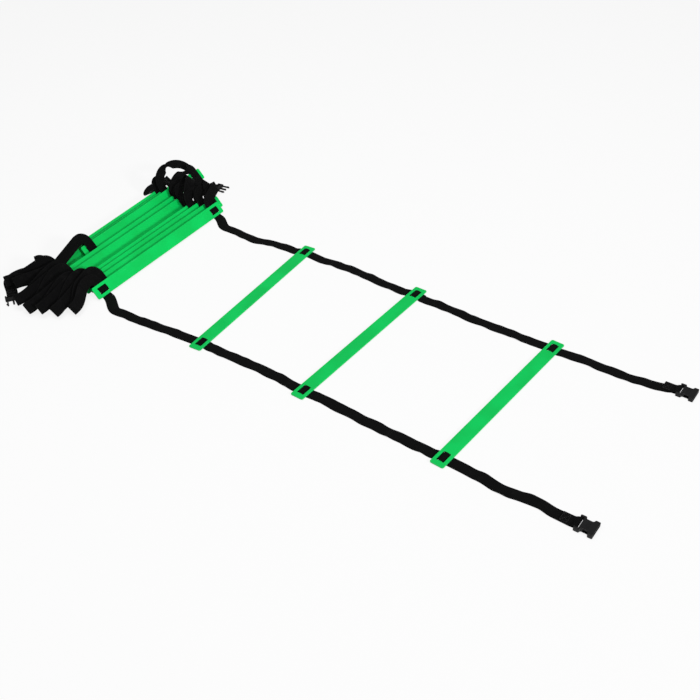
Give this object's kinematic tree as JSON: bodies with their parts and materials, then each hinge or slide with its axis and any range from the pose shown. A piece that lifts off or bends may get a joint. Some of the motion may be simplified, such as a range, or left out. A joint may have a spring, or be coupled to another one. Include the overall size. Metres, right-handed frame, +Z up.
{
  "type": "agility ladder",
  "caption": "Agility ladder of flat plastic rungs threaded on parallel webbing straps with side release buckles, partly folded in a stack and partly laid out flat.",
  "frame": {"origin": "middle of the bounding box at floor level", "axes": "+X along the ladder from the folded stack to the female buckles, +Y along the rungs from the near webbing to the far webbing, +Z up"},
  "size_m": [1.4904, 0.6824, 0.0753],
  "materials": {
    "rung_green": "moulded satin plastic, bright green",
    "webbing_black": "flat woven webbing, black",
    "buckle_black": "moulded plastic with a slight sheen, black"
  },
  "bodies": {
    "folded_stack": {"rung_01": "rung_green", "rung_02": "rung_green", "rung_03": "rung_green", "rung_04": "rung_green", "rung_05": "rung_green", "rung_06": "rung_green", "rung_07": "rung_green", "rung_08": "rung_green", "rung_09": "rung_green", "near_folded_webbing": "webbing_black", "far_folded_webbing": "webbing_black"},
    "span_09_10_a": {"near_webbing_09_10_a": "webbing_black", "far_webbing_09_10_a": "webbing_black"},
    "span_09_10_b": {"near_webbing_09_10_b": "webbing_black", "far_webbing_09_10_b": "webbing_black"},
    "laid_rung_10": {"rung_10": "rung_green", "near_thread_10": "webbing_black", "far_thread_10": "webbing_black"},
    "span_10_11_a": {"near_webbing_10_11_a": "webbing_black", "far_webbing_10_11_a": "webbing_black"},
    "span_10_11_b": {"near_webbing_10_11_b": "webbing_black", "far_webbing_10_11_b": "webbing_black"},
    "laid_rung_11": {"rung_11": "rung_green", "near_thread_11": "webbing_black", "far_thread_11": "webbing_black"},
    "span_11_12_a": {"near_webbing_11_12_a": "webbing_black", "far_webbing_11_12_a": "webbing_black"},
    "span_11_12_b": {"near_webbing_11_12_b": "webbing_black", "far_webbing_11_12_b": "webbing_black"},
    "laid_rung_12": {"rung_12": "rung_green", "near_thread_12": "webbing_black", "far_thread_12": "webbing_black"},
    "near_end": {"near_end_webbing": "webbing_black"},
    "near_female": {"near_female_buckle": "buckle_black"},
    "far_end": {"far_end_webbing": "webbing_black"},
    "far_female": {"far_female_buckle": "buckle_black"},
    "near_male": {"near_male_buckle": "buckle_black"},
    "far_male": {"far_male_buckle": "buckle_black"}
  },
  "joints": [
    {"name": "gather_10", "type": "hinge", "parent": "folded_stack", "child": "span_09_10_a", "pos_m": [-0.45705, 0.00048, 0.00122], "axis": [0, -1, 0], "range_deg": [0, 78]},
    {"name": "crest_10", "type": "hinge", "parent": "span_09_10_a", "child": "span_09_10_b", "pos_m": [-0.34006, 0.00048, 0.00002], "axis": [0, -1, 0], "range_deg": [-156, 0]},
    {"name": "level_10", "type": "hinge", "parent": "span_09_10_b", "child": "laid_rung_10", "pos_m": [-0.22307, 0.00048, 0.00122], "axis": [0, -1, 0], "range_deg": [0, 78]},
    {"name": "gather_11", "type": "hinge", "parent": "laid_rung_10", "child": "span_10_11_a", "pos_m": [-0.14741, 0.00048, 0.00122], "axis": [0, -1, 0], "range_deg": [0, 78]},
    {"name": "crest_11", "type": "hinge", "parent": "span_10_11_a", "child": "span_10_11_b", "pos_m": [-0.03313, 0.00048, 0.00002], "axis": [0, -1, 0], "range_deg": [-156, 0]},
    {"name": "level_11", "type": "hinge", "parent": "span_10_11_b", "child": "laid_rung_11", "pos_m": [0.08115, 0.00048, 0.00122], "axis": [0, -1, 0], "range_deg": [0, 78]},
    {"name": "gather_12", "type": "hinge", "parent": "laid_rung_11", "child": "span_11_12_a", "pos_m": [0.13217, 0.00048, 0.00122], "axis": [0, -1, 0], "range_deg": [0, 78]},
    {"name": "crest_12", "type": "hinge", "parent": "span_11_12_a", "child": "span_11_12_b", "pos_m": [0.2683, 0.00048, 0.00002], "axis": [0, -1, 0], "range_deg": [-156, 0]},
    {"name": "level_12", "type": "hinge", "parent": "span_11_12_b", "child": "laid_rung_12", "pos_m": [0.40442, 0.00048, 0.00122], "axis": [0, -1, 0], "range_deg": [0, 78]},
    {"name": "near_end_fold", "type": "hinge", "parent": "laid_rung_12", "child": "near_end", "pos_m": [0.4715, -0.21302, 0.00122], "axis": [0, -1, 0], "range_deg": [0, 90]},
    {"name": "near_female_swing", "type": "hinge", "parent": "near_end", "child": "near_female", "pos_m": [0.69526, -0.21302, 0.00452], "axis": [0, -1, 0], "range_deg": [0, 100]},
    {"name": "far_end_fold", "type": "hinge", "parent": "laid_rung_12", "child": "far_end", "pos_m": [0.4715, 0.21248, 0.00122], "axis": [0, -1, 0], "range_deg": [0, 90]},
    {"name": "far_female_swing", "type": "hinge", "parent": "far_end", "child": "far_female", "pos_m": [0.71246, 0.21248, 0.00452], "axis": [0, -1, 0], "range_deg": [0, 100]},
    {"name": "near_male_swing", "type": "hinge", "parent": "folded_stack", "child": "near_male", "pos_m": [-0.63684, -0.31152, 0.00352], "axis": [-0.5547, -0.8321, 0], "range_deg": [0, 90]},
    {"name": "far_male_swing", "type": "hinge", "parent": "folded_stack", "child": "far_male", "pos_m": [-0.58584, 0.32048, 0.00352], "axis": [0.1544, -0.988, 0], "range_deg": [0, 90]}
  ],
  "couplings": [
    {"joint": "crest_10", "follows": "gather_10", "ratio": -2},
    {"joint": "level_10", "follows": "gather_10", "ratio": 1},
    {"joint": "crest_11", "follows": "gather_11", "ratio": -2},
    {"joint": "level_11", "follows": "gather_11", "ratio": 1},
    {"joint": "crest_12", "follows": "gather_12", "ratio": -2},
    {"joint": "level_12", "follows": "gather_12", "ratio": 1}
  ]
}
